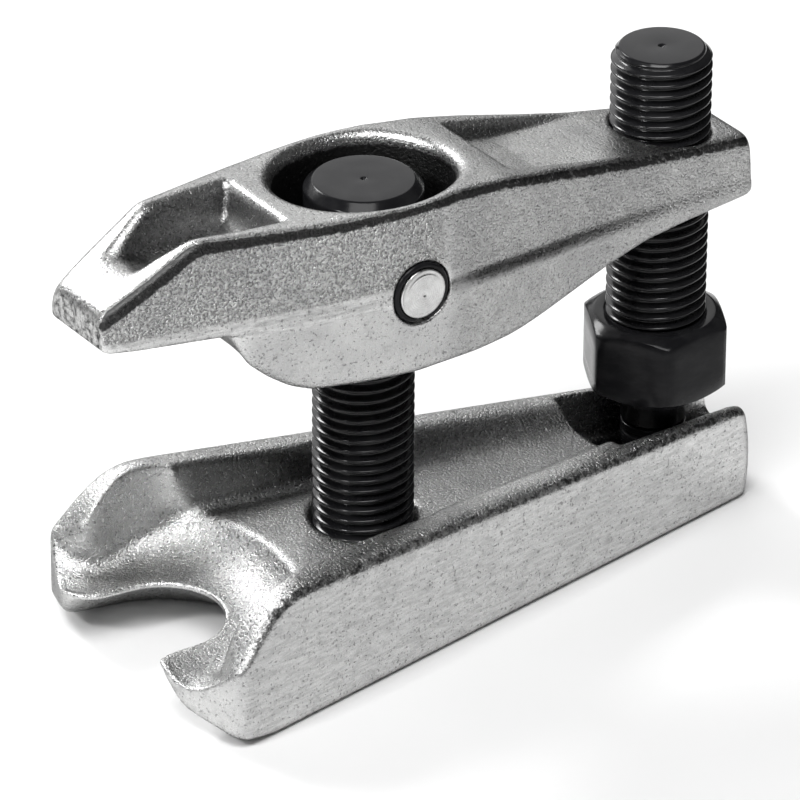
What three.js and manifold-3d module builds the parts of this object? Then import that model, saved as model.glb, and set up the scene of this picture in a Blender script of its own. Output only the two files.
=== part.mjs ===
// Lever-type ball joint separator: a forged fork body, a forged lever on a headed
// height screw, and a forcing screw that tilts the lever. Millimetres, +Z up.
// Model axes: X runs from the fork (-X) to the forcing screw (+X), Y is across the tool,
// and x = 0 is the axis of the height screw.
import * as THREE from 'three';
import { mergeVertices } from 'three/addons/utils/BufferGeometryUtils.js';
import Module from 'manifold-3d';

const wasm = await Module();
wasm.setup();

// ---------- driving dimensions ----------
const THREAD_D = 18;             // M18 x 2 on both screws
const GAP = 0.3;                 // gap between faces that rest on each other
const RUNNING = 0.1;             // radial clearance of turning and sliding fits
const ROUND_SIDES = 48;          // facets of a full circle

const FORK_TIP_X = -51.6;        // front of the prongs
const BODY_REAR_X = 80;
const BODY_HALF_W = 22.9;        // half width at x = 0
const BODY_TAPER = 0.18;         // half width lost per mm towards the rear
const WALL_TOP_Z = 24.4;         // top of the side walls at x = 0
const WALL_FALL = 0.069;         // height lost per mm towards the rear
const FLOOR_Z = 17.7;            // channel floor
const SHELF_Z = 11;              // rear shelf that the forcing screw presses on
const SHELF_X = 48.6;            // step from the channel floor to the shelf
const FORK_GAP = 22.6;           // opening between the prongs
const NOTCH_X = -42.5;           // centre of the notch's round end
const SEAT_X = -53.6;            // centre of the round back wall of the seat
const SEAT_R = 34;               // its radius at the level of the channel floor
const SEAT_Z = 10.8;             // upper edge of the notch
const BEVEL_DROP = 9.4;          // bevel under the edge of the notch: height and width
const BEVEL_RUN = 15;

const TIP_X = -58.8;             // front of the pressing tip
const LEVER_REAR_X = 76.5;
const PARTING_Z = 69.5;          // widest level of the lever forging
const LEVER_DRAFT = 1.7;         // width lost on each side towards top and bottom
const DRAFT_RISE = 18;

const PIN_Z = 69.5;              // pivot axis
const PIN_D = 9;
const PIN_LENGTH = 37.2;
const RING_SEAT_D = 11.6;
const RING_SEAT_DEPTH = 2.2;
const RING_WIRE = 1.4;

const HEAD_D = 21;               // height screw
const HEAD_TOP_Z = 83.9;
const HEAD_UNDER_Z = 58;
const SCREW_END_Z = 1.5;

const FORCE_X = 63.2;            // forcing screw axis
const FORCE_TOP_Z = 91.9;
const HEX_AF = 24;
const HEX_TURN = 4;              // degrees, one corner's place about the screw axis
const HEX_BOTTOM_Z = 25.2;
const HEX_TOP_Z = 39.6;
const NECK_D = 11.8;
const CAP_TOP_Z = 17.5;
const STUB_D = 7;
const STUB_END_Z = 13.5;

const FRAME_X = (TIP_X + BODY_REAR_X) / 2;   // the frame's origin is under the middle

const steel = (color, roughness) => new THREE.MeshStandardMaterial({ color, roughness, metalness: 0.9 });
const PLATED = steel(0xb9bab8, 0.5);
const BLACK = steel(0x17171a, 0.42);
const BRIGHT = steel(0xd2d3d2, 0.28);

// ---------- solids ----------
function solid(geometry, matrix) {
  const bare = geometry.clone();
  bare.deleteAttribute('normal');
  bare.deleteAttribute('uv');
  const merged = mergeVertices(bare, 1e-4);
  if (matrix) merged.applyMatrix4(matrix);
  const vertProperties = new Float32Array(merged.attributes.position.array);
  const triVerts = new Uint32Array(merged.index.array);
  return new wasm.Manifold(new wasm.Mesh({ numProp: 3, vertProperties, triVerts }));
}

function toMesh(name, manifold, material) {
  const mesh = manifold.getMesh();
  const geometry = new THREE.BufferGeometry();
  geometry.setAttribute('position', new THREE.BufferAttribute(mesh.vertProperties, 3));
  geometry.setIndex(new THREE.BufferAttribute(mesh.triVerts, 1));
  const object = new THREE.Mesh(geometry, material);
  object.name = name;
  return object;
}

const shift = (x, y, z) => new THREE.Matrix4().makeTranslation(x, y, z);
const UPRIGHT = new THREE.Matrix4().makeRotationX(Math.PI / 2);

// A shape drawn in plan (x, y), from z = low to z = high.
function planSolid(shape, low, high, curveSegments = 10) {
  const geometry = new THREE.ExtrudeGeometry(shape, { depth: high - low, bevelEnabled: false, curveSegments });
  return solid(geometry, shift(0, 0, low));
}

// A shape drawn in side view (x, z), from y = -half to y = half.
function sideSolid(shape, half, curveSegments = 8) {
  const geometry = new THREE.ExtrudeGeometry(shape, { depth: 2 * half, bevelEnabled: false, curveSegments });
  return solid(geometry, shift(0, half, 0).multiply(UPRIGHT));
}

// A shape drawn in end view (y, z), from x = low to x = high.
function endSolid(shape, low, high) {
  const geometry = new THREE.ExtrudeGeometry(shape, { depth: high - low, bevelEnabled: false });
  const turn = new THREE.Matrix4().makeBasis(
    new THREE.Vector3(0, 1, 0), new THREE.Vector3(0, 0, 1), new THREE.Vector3(1, 0, 0));
  return solid(geometry, shift(low, 0, 0).multiply(turn));
}

// A plan shape that starts at z = low and grows by flare on every side over the given rise.
function flaredSolid(shape, low, rise, flare) {
  const geometry = new THREE.ExtrudeGeometry(shape, {
    depth: 40, bevelThickness: rise, bevelSize: flare, bevelSegments: 1, curveSegments: 16,
  });
  return solid(geometry, shift(0, 0, low + rise));
}

// A turned piece on the vertical axis at x, from its (radius, z) profile.
function turned(points, x = 0, sides = ROUND_SIDES) {
  const profile = points.map(([r, z]) => new THREE.Vector2(r, z));
  return solid(new THREE.LatheGeometry(profile, sides), shift(x, 0, 0).multiply(UPRIGHT));
}

const disc = (r, low, high, x = 0) => turned([[0, low], [r, low], [r, high], [0, high]], x);

// A round bar or hole along Y at (x, z), from y = low to y = high.
function crossBar(r, low, high, x, z) {
  const geometry = new THREE.CylinderGeometry(r, r, high - low, 32);
  return solid(geometry, shift(x, (low + high) / 2, z));
}

function polygon(points) {
  return new THREE.Shape(points.map(([x, y]) => new THREE.Vector2(x, y)));
}

// A plan outline that is the same on both sides of y = 0, from its half-width stations.
function symmetricPlan(stations) {
  const near = stations.map(([x, w]) => [x, -w]);
  const far = stations.map(([x, w]) => [x, w]).reverse();
  return polygon([...near, ...far]);
}

// ---------- fork body ----------
const bodyHalf = (x) => BODY_HALF_W - BODY_TAPER * x;
const wallTop = (x) => WALL_TOP_Z - WALL_FALL * x;

function forkBody() {
  const rearTop = wallTop(BODY_REAR_X);
  const outline = symmetricPlan([
    [FORK_TIP_X + 0.4, 9], [FORK_TIP_X + 0.3, 13.4], [FORK_TIP_X, 16.4], [FORK_TIP_X + 0.6, 19.4],
    [FORK_TIP_X + 1.9, 22.4], [FORK_TIP_X + 3.3, 25.4], [FORK_TIP_X + 4.3, 28.4], [FORK_TIP_X + 5.4, 30.4],
    [FORK_TIP_X + 7.4, bodyHalf(FORK_TIP_X + 7.4)], [BODY_REAR_X - 3.4, bodyHalf(BODY_REAR_X - 3.4)],
    [BODY_REAR_X - 1, bodyHalf(BODY_REAR_X) - 1.1], [BODY_REAR_X, bodyHalf(BODY_REAR_X) - 3.2],
  ]);
  const profile = polygon([
    [FORK_TIP_X + 0.4, 6.2], [-49.7, 4.2], [-47, 2.4], [-43.4, 0.9], [-38, 0], [BODY_REAR_X - 2.8, 0],
    [BODY_REAR_X - 0.8, 2.2], [BODY_REAR_X, 7.6], [BODY_REAR_X - 0.6, 13], [BODY_REAR_X - 2.2, rearTop - 1.6],
    [BODY_REAR_X - 4.8, rearTop], [-31, wallTop(-31)], [-35, 25.8], [-38, 24], [-41, 21.5], [-44.3, 16.9],
    [-46.8, 13.9], [FORK_TIP_X, 12.4], [FORK_TIP_X, 7.4],
  ]);
  let body = planSolid(outline, -1, 40).intersect(sideSolid(profile, 40));

  // Channel between the side walls: steep flanks down to a flat floor.
  const channel = symmetricPlan([[-24, 17.6], [-2, 13.6], [19, 8.8], [SHELF_X + 1, 4.7]]);
  body = body.subtract(flaredSolid(channel, FLOOR_Z, 7, 3.2));
  const shelf = symmetricPlan([
    [SHELF_X, bodyHalf(SHELF_X) - 5], [BODY_REAR_X + 1, bodyHalf(BODY_REAR_X + 1) - 3.2],
  ]);
  body = body.subtract(flaredSolid(shelf, SHELF_Z, 9, 0.8));

  // Seat: a wide trough that a round wall closes at the back and that opens out at the tips.
  const trough = polygon([
    [-12.5, SEAT_Z], [12.5, SEAT_Z], [16.4, 9.7], [20, 9.4], [21.8, 10.8], [22.6, 14], [23.6, 40],
    [-23.6, 40], [-22.6, 14], [-21.8, 10.8], [-20, 9.4], [-16.4, 9.7],
  ]);
  const backWall = turned([
    [0, 8], [25.5, 8], [28.4, 10.9], [31, 13.8], [SEAT_R, FLOOR_Z], [SEAT_R + 0.2, 40], [0, 40],
  ], SEAT_X, 2 * ROUND_SIDES);
  body = body.subtract(endSolid(trough, FORK_TIP_X - 2, -10).intersect(backWall));
  const mouth = polygon([
    [-12, SEAT_Z + 0.6], [12, SEAT_Z + 0.6], [16.4, 10.4], [19.4, 9.4], [22.4, 8.8], [25.4, 9.1], [28.4, 10.6],
    [32, 14.2], [34, 40], [-34, 40], [-32, 14.2], [-28.4, 10.6], [-25.4, 9.1], [-22.4, 8.8], [-19.4, 9.4],
    [-16.4, 10.4],
  ]);
  body = body.subtract(endSolid(mouth, FORK_TIP_X - 2, -45.6));

  const edge = FORK_GAP / 2;
  const notch = new THREE.Shape();
  notch.moveTo(FORK_TIP_X - 2, -edge - 3);
  notch.lineTo(-49.4, -edge - 0.5);
  notch.lineTo(NOTCH_X, -edge);
  notch.absarc(NOTCH_X, 0, edge, -Math.PI / 2, Math.PI / 2, false);
  notch.lineTo(-49.4, edge + 0.5);
  notch.lineTo(FORK_TIP_X - 2, edge + 3);
  body = body.subtract(planSolid(notch, -1, 40, 16));

  // Bevel under the notch's edge, so that the prongs slide in like wedges.
  const bevel = new THREE.ExtrudeGeometry(notch, {
    depth: 4, bevelThickness: BEVEL_DROP, bevelSize: BEVEL_RUN, bevelSegments: 1, curveSegments: 16,
  });
  body = body.subtract(solid(bevel, shift(0, 0, -4)));

  const holeR = THREAD_D / 2 + RUNNING;
  const mouthR = holeR + 1.1;
  body = body.subtract(disc(holeR, -1, 40));
  return body.subtract(turned([[0, FLOOR_Z - 1], [holeR, FLOOR_Z - 1], [mouthR, FLOOR_Z + 0.1], [0, FLOOR_Z + 0.1]]));
}

// ---------- lever ----------
const LEVER_PLAN = [
  [TIP_X, 7.8], [TIP_X + 1.4, 9.6], [-50, 10.9], [-40, 12.2], [-30, 14.3], [-20, 16.3], [-10, 18], [0, 18.9],
  [10, 18.3], [20, 17.6], [30, 16.5], [40, 15.1], [50, 13.7], [60, 12.5], [LEVER_REAR_X - 1.2, 11.2],
  [LEVER_REAR_X, 10],
];
const LEVER_SIDE = [
  [-56.5, 70.6], [-35, 69], [-33.4, 64.2], [-32, 62.6], [-28, 59.2], [-24, 56.5], [-20, 54.9], [-12, 54.1],
  [0, 53.2], [12, 53.3], [20, 53.9], [28, 55.8], [32, 57], [42, 59.9], [51, 61.8], [LEVER_REAR_X - 1.5, 63.2],
  [LEVER_REAR_X, 65], [LEVER_REAR_X, 73], [LEVER_REAR_X - 1.6, 74.8], [60, 76.9], [40, 80.3], [22, 83.8],
  [12, 85.2], [-15, 85.9], [-37.5, 87.2], [-40, 87.2], [-42, 86.4], [-56.4, 78.2], [TIP_X + 0.8, 76.6],
  [TIP_X, 74.6], [TIP_X, 73.2], [TIP_X + 0.8, 71.6],
];

function lever() {
  const drafted = new THREE.ExtrudeGeometry(symmetricPlan(LEVER_PLAN), {
    depth: 0.5, bevelThickness: DRAFT_RISE, bevelSize: LEVER_DRAFT, bevelOffset: -LEVER_DRAFT, bevelSegments: 1,
  });
  let body = solid(drafted, shift(0, 0, PARTING_Z - 0.25)).intersect(sideSolid(polygon(LEVER_SIDE), 30));

  // Oval opening round the screw head, narrowing to the slot that the screw stands in.
  const oval = (a, b, low, high) => {
    const shape = new THREE.Shape();
    shape.absellipse(0, 0, a, b, 0, 2 * Math.PI, false, 0);
    return planSolid(shape, low, high, 20);
  };
  body = body.subtract(oval(18.6, 15.4, 84.4, 95));
  body = body.subtract(oval(17.5, 14.3, 82, 95));
  body = body.subtract(oval(16.4, 13, 78, 95));
  body = body.subtract(oval(15, 11.6, 57, 95));
  body = body.subtract(oval(12.6, 10, 50, 60));

  // Tapered recess behind the tip, and the shallow dish in front of the rear thread.
  const recess = polygon([[-51, -3.6], [-51, 3.6], [-23.6, 7.4], [-23.6, -7.4]]);
  const recessSide = polygon([[-51.5, 81.2], [-46, 79.4], [-23.5, 79.4], [-23.5, 95], [-51.5, 95]]);
  body = body.subtract(planSolid(recess, 70, 95).intersect(sideSolid(recessSide, 20)));
  const dish = polygon([[23, -9.4], [27, -11], [49, -8.6], [49, 8.6], [27, 11], [23, 9.4]]);
  const dishSide = polygon([[23, 81], [27, 80.2], [50, 78.7], [50, 95], [23, 95]]);
  body = body.subtract(planSolid(dish, 70, 95).intersect(sideSolid(dishSide, 20)));

  body = body.subtract(disc(THREAD_D / 2 + RUNNING, 50, 95, FORCE_X));
  body = body.subtract(crossBar(PIN_D / 2 + RUNNING / 2, -30, 30, 0, PIN_Z));
  const seatStart = PIN_LENGTH / 2 - RING_SEAT_DEPTH;
  body = body.subtract(crossBar(RING_SEAT_D / 2, seatStart, 30, 0, PIN_Z));
  return body.subtract(crossBar(RING_SEAT_D / 2, -30, -seatStart, 0, PIN_Z));
}

// ---------- height screw, pivot pin and its rings ----------
function heightScrew() {
  const r = THREAD_D / 2;
  const headR = HEAD_D / 2;
  const screw = turned([
    [0, SCREW_END_Z], [r - 1.6, SCREW_END_Z], [r, SCREW_END_Z + 1.6], [r, HEAD_UNDER_Z - 3],
    [headR - 0.8, HEAD_UNDER_Z], [headR, HEAD_UNDER_Z + 1], [headR, HEAD_TOP_Z - 1.5],
    [headR - 1.5, HEAD_TOP_Z], [0, HEAD_TOP_Z],
  ]);
  return screw.subtract(crossBar(PIN_D / 2 + RUNNING, -20, 20, 0, PIN_Z));
}

function pivotPin() {
  const half = PIN_LENGTH / 2;
  const r = PIN_D / 2;
  const chamfer = 0.7;
  const profile = [[0, -half], [r - chamfer, -half], [r, -half + chamfer], [r, half - chamfer],
    [r - chamfer, half], [0, half]].map(([x, y]) => new THREE.Vector2(x, y));
  const bar = solid(new THREE.LatheGeometry(profile, 32), shift(0, 0, PIN_Z));
  const grooveMiddle = half - RING_SEAT_DEPTH + RING_WIRE / 2 + GAP / 2;
  const groove = (y) => crossBar(r + 1, y - 0.85, y + 0.85, 0, PIN_Z)
    .subtract(crossBar(r - 0.6, y - 1, y + 1, 0, PIN_Z));
  return bar.subtract(groove(grooveMiddle)).subtract(groove(-grooveMiddle));
}

// An open wire ring in the pin's groove; side is -1 for the near end and 1 for the far end.
function pinRing(side) {
  const y = side * (PIN_LENGTH / 2 - RING_SEAT_DEPTH + RING_WIRE / 2 + GAP / 2);
  const outer = RING_SEAT_D / 2 - RUNNING;
  const inner = PIN_D / 2 - 0.5;
  const ring = crossBar(outer, y - RING_WIRE / 2 + 0.1, y + RING_WIRE / 2 - 0.1, 0, PIN_Z)
    .subtract(crossBar(inner, y - 2, y + 2, 0, PIN_Z));
  const slit = solid(new THREE.BoxGeometry(2.4, 4, 8), shift(0, y, PIN_Z - 6));
  return ring.subtract(slit);
}

// ---------- forcing screw and thrust cap ----------
function forcingScrew() {
  const r = THREAD_D / 2;
  const shank = turned([
    [0, STUB_END_Z], [STUB_D / 2 - 0.8, STUB_END_Z], [STUB_D / 2, STUB_END_Z + 0.8], [STUB_D / 2, CAP_TOP_Z + GAP],
    [NECK_D / 2, CAP_TOP_Z + GAP], [NECK_D / 2, HEX_BOTTOM_Z - 2.4], [8, HEX_BOTTOM_Z - 2.4],
    [8, HEX_BOTTOM_Z + 1], [r, HEX_BOTTOM_Z + 1],
    [r, FORCE_TOP_Z - 1.6], [r - 1.6, FORCE_TOP_Z], [0, FORCE_TOP_Z],
  ], FORCE_X);
  const cornerR = HEX_AF / Math.sqrt(3);
  const corners = Array.from({ length: 6 }, (_, i) => {
    const angle = THREE.MathUtils.degToRad(HEX_TURN + 60 * i);
    return [FORCE_X + cornerR * Math.cos(angle), cornerR * Math.sin(angle)];
  });
  const chamferR = HEX_AF / 2 - 1.1;
  const chamferSlope = Math.tan(Math.PI / 6);
  const drop = (cornerR + 1 - chamferR) * chamferSlope;
  const limits = turned([
    [0, HEX_BOTTOM_Z], [chamferR, HEX_BOTTOM_Z], [cornerR + 1, HEX_BOTTOM_Z + drop],
    [cornerR + 1, HEX_TOP_Z - drop], [chamferR, HEX_TOP_Z], [0, HEX_TOP_Z],
  ], FORCE_X);
  return shank.add(planSolid(polygon(corners), HEX_BOTTOM_Z, HEX_TOP_Z).intersect(limits));
}

function thrustCap() {
  const low = SHELF_Z + GAP;
  const r = NECK_D / 2;
  return turned([
    [0, low], [2.4, low], [4.6, low + 0.6], [r, low + 2], [r, CAP_TOP_Z], [STUB_D / 2 + RUNNING, CAP_TOP_Z],
    [STUB_D / 2 + RUNNING, STUB_END_Z - GAP], [0, STUB_END_Z - GAP],
  ], FORCE_X);
}

// ---------- assembly ----------
const tool = new THREE.Group();
tool.position.x = -FRAME_X;
tool.add(toMesh('lower_body', forkBody(), PLATED));
tool.add(toMesh('upper_lever', lever(), PLATED));
tool.add(toMesh('height_screw', heightScrew(), BLACK));
tool.add(toMesh('pivot_pin', pivotPin(), BRIGHT));
tool.add(toMesh('pin_ring_near', pinRing(-1), BLACK));
tool.add(toMesh('pin_ring_far', pinRing(1), BLACK));
tool.add(toMesh('forcing_screw', forcingScrew(), BLACK));
tool.add(toMesh('thrust_cap', thrustCap(), BLACK));

export default tool;
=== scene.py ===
import math

import bpy
import numpy as np
from mathutils import Matrix, Vector


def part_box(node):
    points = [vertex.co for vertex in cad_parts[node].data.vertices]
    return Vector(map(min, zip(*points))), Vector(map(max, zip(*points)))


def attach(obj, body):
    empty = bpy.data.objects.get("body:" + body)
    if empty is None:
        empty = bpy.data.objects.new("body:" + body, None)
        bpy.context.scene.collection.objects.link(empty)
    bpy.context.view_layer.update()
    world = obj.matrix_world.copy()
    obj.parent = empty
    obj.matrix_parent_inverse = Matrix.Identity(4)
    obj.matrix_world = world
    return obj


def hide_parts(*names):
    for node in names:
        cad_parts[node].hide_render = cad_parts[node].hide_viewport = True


# Looks of the ball joint separator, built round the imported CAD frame.
# Lengths are millimetres in "tool" coordinates, as in the CAD source: x = 0 is the axis of the
# height screw, the fork points to -x and the forcing screw to +x. to_object() turns them into metres.

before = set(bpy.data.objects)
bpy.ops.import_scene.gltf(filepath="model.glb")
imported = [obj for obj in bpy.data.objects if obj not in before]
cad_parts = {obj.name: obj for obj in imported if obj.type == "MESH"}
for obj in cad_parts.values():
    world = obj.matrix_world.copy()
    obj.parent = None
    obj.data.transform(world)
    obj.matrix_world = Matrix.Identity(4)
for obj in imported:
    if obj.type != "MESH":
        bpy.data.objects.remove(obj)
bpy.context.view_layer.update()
MM = 0.001
PITCH = 0.5     # grid pitch of the two forgings' meshes


def box_mm(node):
    """Lowest and highest corner of a CAD node, in frame millimetres."""
    low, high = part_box(node)
    return np.array(low) / MM, np.array(high) / MM


# ---------- places taken from the frame ----------
screw_low, screw_high = box_mm("height_screw")
force_low, force_high = box_mm("forcing_screw")
body_low, body_high = box_mm("lower_body")
lever_low, lever_high = box_mm("upper_lever")
pin_low, pin_high = box_mm("pivot_pin")
cap_low, cap_high = box_mm("thrust_cap")

SCREW_X = (screw_low[0] + screw_high[0]) / 2      # frame x of the height screw's axis
FORCE_X = (force_low[0] + force_high[0]) / 2 - SCREW_X
FORK_TIP_X = body_low[0] - SCREW_X
BODY_REAR_X = body_high[0] - SCREW_X
TIP_X = lever_low[0] - SCREW_X
LEVER_REAR_X = lever_high[0] - SCREW_X
PIN_Z = (pin_low[2] + pin_high[2]) / 2
PIN_R = (pin_high[2] - pin_low[2]) / 2
PIN_HALF = (pin_high[1] - pin_low[1]) / 2
HEAD_R = (screw_high[1] - screw_low[1]) / 2
HEAD_TOP = screw_high[2]
SCREW_END = screw_low[2]
FORCE_TOP = force_high[2]
FORCE_END = force_low[2]
CAP_TOP = cap_high[2]
CAP_LOW = cap_low[2]
INSET = 0.08                                      # keeps grain inside the CAD box

THREAD_R = 9.0                                    # M18 x 2 on both screws
THREAD_PITCH = 2.0
RUNNING = 0.1                                     # radial clearance of turning and sliding fits
RING_SEAT_R = 5.8                                 # recess in the lever round each end of the pin
RING_SEAT_DEPTH = 2.2
RING_Y = PIN_HALF - RING_SEAT_DEPTH + 0.85        # middle of the wire ring in that recess


# ---------- implicit shapes ----------
def smooth_max(a, b, k):
    """Intersection with a fillet or round of about size k."""
    h = np.maximum(k - np.abs(a - b), 0) / k
    return np.maximum(a, b) + h * h * k / 4


CURVE_STEP = 0.25                                 # spacing of the samples of a rounded curve


def stations(points, blur=0.0):
    """A curve y(x) through (x, y) points, rounded over about blur, as a function of arrays."""
    xs, ys = np.array(points, float).T
    if not blur:
        return lambda x: np.interp(x, xs, ys)
    pad = 3 * blur
    fine = np.arange(xs[0] - pad, xs[-1] + pad, CURVE_STEP)
    slope_a = (ys[1] - ys[0]) / (xs[1] - xs[0])
    slope_b = (ys[-1] - ys[-2]) / (xs[-1] - xs[-2])
    raw = np.interp(fine, xs, ys)
    raw = np.where(fine < xs[0], ys[0] + (fine - xs[0]) * slope_a, raw)
    raw = np.where(fine > xs[-1], ys[-1] + (fine - xs[-1]) * slope_b, raw)
    reach = np.arange(-pad, pad + CURVE_STEP, CURVE_STEP)
    weight = np.exp(-0.5 * (reach / (blur / 2)) ** 2)
    padded = np.pad(raw, len(reach) // 2, mode="edge")
    soft = np.convolve(padded, weight / weight.sum(), "valid")[: len(fine)]
    return lambda x: np.interp(x, fine, soft)


def slope_of(curve, x, step=0.5):
    return (curve(x + step) - curve(x - step)) / (2 * step)


def above(curve, x, z):
    """Distance over a height curve, positive above it."""
    return (z - curve(x)) / np.sqrt(1 + slope_of(curve, x) ** 2)


def ellipse_distance(x, y, a, b):
    """About the distance to an ellipse's outline, negative inside."""
    q = np.sqrt((x / a) ** 2 + (y / b) ** 2) + 1e-9
    g = np.sqrt((x / a**2) ** 2 + (y / b**2) ** 2) + 1e-9
    return q * (q - 1) / g


CORNERS = [(i, j, k) for i in (0, 1) for j in (0, 1) for k in (0, 1)]


def cell_corner(array, c):
    """The grid values at one corner of every cell; c is 0 or 1 along each axis."""
    n = [size - 1 for size in array.shape]
    return array[c[0]: c[0] + n[0], c[1]: c[1] + n[1], c[2]: c[2] + n[2]]


def mean_crossing(value, active):
    """The mean of the points where the surface crosses each active cell's edges, in cell units."""
    total = np.zeros((np.count_nonzero(active), 3))
    count = np.zeros(len(total))
    for c in CORNERS:
        for axis in range(3):
            if c[axis]:
                continue
            d = list(c)
            d[axis] = 1
            va = cell_corner(value, c)[active].astype(float)
            vb = cell_corner(value, d)[active].astype(float)
            cross = (va < 0) != (vb < 0)
            t = np.where(cross, va / np.where(cross, va - vb, 1), 0)
            point = np.array(c, float) + t[:, None] * np.eye(3)[axis]
            total += np.where(cross[:, None], point, 0)
            count += cross
    return total / count[:, None]


def net_quads(inside, index):
    """One quad round each grid edge that the surface crosses, facing outwards."""
    quads = []
    for axis in range(3):
        u, v = [i for i in range(3) if i != axis]
        n = inside.shape
        first = [slice(None)] * 3
        second = [slice(None)] * 3
        first[axis], second[axis] = slice(0, n[axis] - 1), slice(1, n[axis])
        first[u] = second[u] = slice(1, n[u] - 1)
        first[v] = second[v] = slice(1, n[v] - 1)
        a, b = inside[tuple(first)], inside[tuple(second)]
        for leaving in (True, False):
            edge = np.argwhere((a & ~b) if leaving else (~a & b))
            if not len(edge):
                continue
            edge[:, u] += 1
            edge[:, v] += 1
            ring = []
            for du, dv in ((-1, -1), (0, -1), (0, 0), (-1, 0)):
                c = edge.copy()
                c[:, u] += du
                c[:, v] += dv
                ring.append(index[c[:, 0], c[:, 1], c[:, 2]])
            quad = np.stack(ring, 1)
            faces_out = leaving == (axis != 1)
            quads.append(quad if faces_out else quad[:, ::-1])
    return np.concatenate(quads)


def surface_net(field, low, high, pitch):
    """Vertices and quads of the surface field = 0, with the vertices moved onto the surface."""
    axes = [np.arange(a - pitch * 1.5, b + pitch * 2.5, pitch) for a, b in zip(low, high)]
    gx, gy, gz = np.ix_(*axes)
    value = np.broadcast_to(field(gx, gy, gz), [len(a) for a in axes]).astype(np.float32)
    inside = value < 0
    filled = sum(cell_corner(inside, c).astype(np.int8) for c in CORNERS)
    active = (filled > 0) & (filled < len(CORNERS))
    cell = np.argwhere(active)
    index = np.full(active.shape, -1, np.int64)
    index[active] = np.arange(len(cell))
    base = np.stack([axes[i][cell[:, i]] for i in range(3)], 1)
    verts = base + mean_crossing(value, active) * pitch
    return settle(field, verts, pitch), net_quads(inside, index)


def settle(field, verts, pitch, rounds=4):
    """Newton steps that put the vertices on field = 0."""
    h = 0.02
    for _ in range(rounds):
        x, y, z = verts.T
        f = field(x, y, z)
        g = np.stack([
            field(x + h, y, z) - field(x - h, y, z),
            field(x, y + h, z) - field(x, y - h, z),
            field(x, y, z + h) - field(x, y, z - h),
        ], 1) / (2 * h)
        step = g * (f / np.maximum((g * g).sum(1), 1e-3))[:, None]
        size = np.linalg.norm(step, axis=1, keepdims=True)
        verts = verts - step * np.minimum(1, 0.4 * pitch / np.maximum(size, 1e-9))
    return verts


# ---------- fork body ----------
BODY_HALF_W = 22.9                                # half width at x = 0
BODY_TAPER = 0.18                                 # half width lost per mm towards the rear
BODY_DRAFT = 0.05                                 # half width lost per mm above DRAFT_Z
DRAFT_Z = 15
BODY_EDGE_ROUND = 1.4                             # round along the underside
REAR_CROWN, REAR_CROWN_Z = 0.013, 7.6             # bulge of the rear end and its level
WALL_TOP_Z = 24.4                                 # top of the side walls at x = 0
WALL_FALL = 0.069                                 # height lost per mm towards the rear
WALL_TOP = stations([(-56, 11.8), (FORK_TIP_X, 12.4), (-47, 13.7), (-44.3, 16.9), (-42.3, 19.8),
                     (-41, 21.4), (-38, 24.1), (-35, 25.8), (-31.5, 26.5), (-26, 26.2), (0, WALL_TOP_Z),
                     (BODY_REAR_X, WALL_TOP_Z - WALL_FALL * BODY_REAR_X)], 3)
UNDERSIDE = stations([(-58, 8.4), (FORK_TIP_X, 6.6), (-49.7, 4.0), (-47, 2.3), (-43.4, 0.9), (-38, 0),
                      (-30, 0), (90, 0)], 2)
FRONT_BULGE = stations([(0, 0.6), (9, 0.5), (13.4, 0.3), (16.4, 0), (19.4, 0.6), (22.4, 1.9),
                        (25.4, 3.3), (28.4, 4.3), (30.5, 5.6), (32, 8.5)], 2)

CHANNEL_FRONT_X = -26
FLOOR_Z = 17.7                                    # channel floor
FLOOR_HALF = stations([(-26, 18.0), (-17, 16.2), (-2, 13.4), (8, 11.2), (19, 8.8), (30, 6.7), (42, 5.2),
                       (60, 3.4)], 5)
FLANK_TOP = stations([(-26, 20.7), (-17, 18.7), (-9, 17.2), (0, 15.5), (17, 12.5), (30, 10.6),
                      (46, 7.7), (60, 5.4)], 5)
CREST_Z = stations([(-30, 26), (0, 24), (46, 21), (60, 20)])

SHELF_X = 48.6                                    # step from the channel floor to the rear shelf
SHELF_Z = 11.0
SHELF_WALLS = [5, 3.2]                            # wall thickness beside the shelf, front and rear
SHELF_DRAFT = 0.09

NOTCH_X = -42.5                                   # centre of the notch's round end
NOTCH_R = 11.3
NOTCH_FLARE = stations([(-56, 5.5), (-52.4, 3.0), (-51.3, 1.9), (-50, 0.9), (-48, 0.35), (-46, 0.12),
                        (NOTCH_X, 0)], 1)
NOTCH_EDGE = 0.8                                  # thickness left at the edge of the notch
BEVEL_RUN = 1.25                                  # run per rise of the bevel under it

SEAT_X = -53.6                                    # centre of the seat's round back wall
SEAT_R = 34.0                                     # its radius at the level of the channel floor
BACK_SLOPE = math.radians(53)
SEAT_DRAFT = 0.14
SEAT_RIM = stations([(-54, 12.4), (-51.5, 12.1), (-50, 11.3), (-47, 11.0), (-40, 10.7), (-31, 10.8),
                     (-20, 10.8)], 2)
SEAT_DIP = stations([(0, 0), (12.5, 0), (13.4, -0.1), (16.4, -1.4), (19.4, -2.4), (22.4, -2.6),
                     (25.4, -2.1), (28.4, -0.6), (31.4, 2.4), (34, 6)], 2)
SEAT_HALF = stations([(-52, 40), (-49, 31.5), (-47, 27), (-45, 24), (-43, 22.8), (-41, 22.6),
                      (-38, 22.7), (-35, 22.6), (-32, 22.0), (-29, 21.2), (-26, 20.3), (-20, 18.5)], 2.5)


def half_width(x):
    return BODY_HALF_W - BODY_TAPER * x


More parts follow.
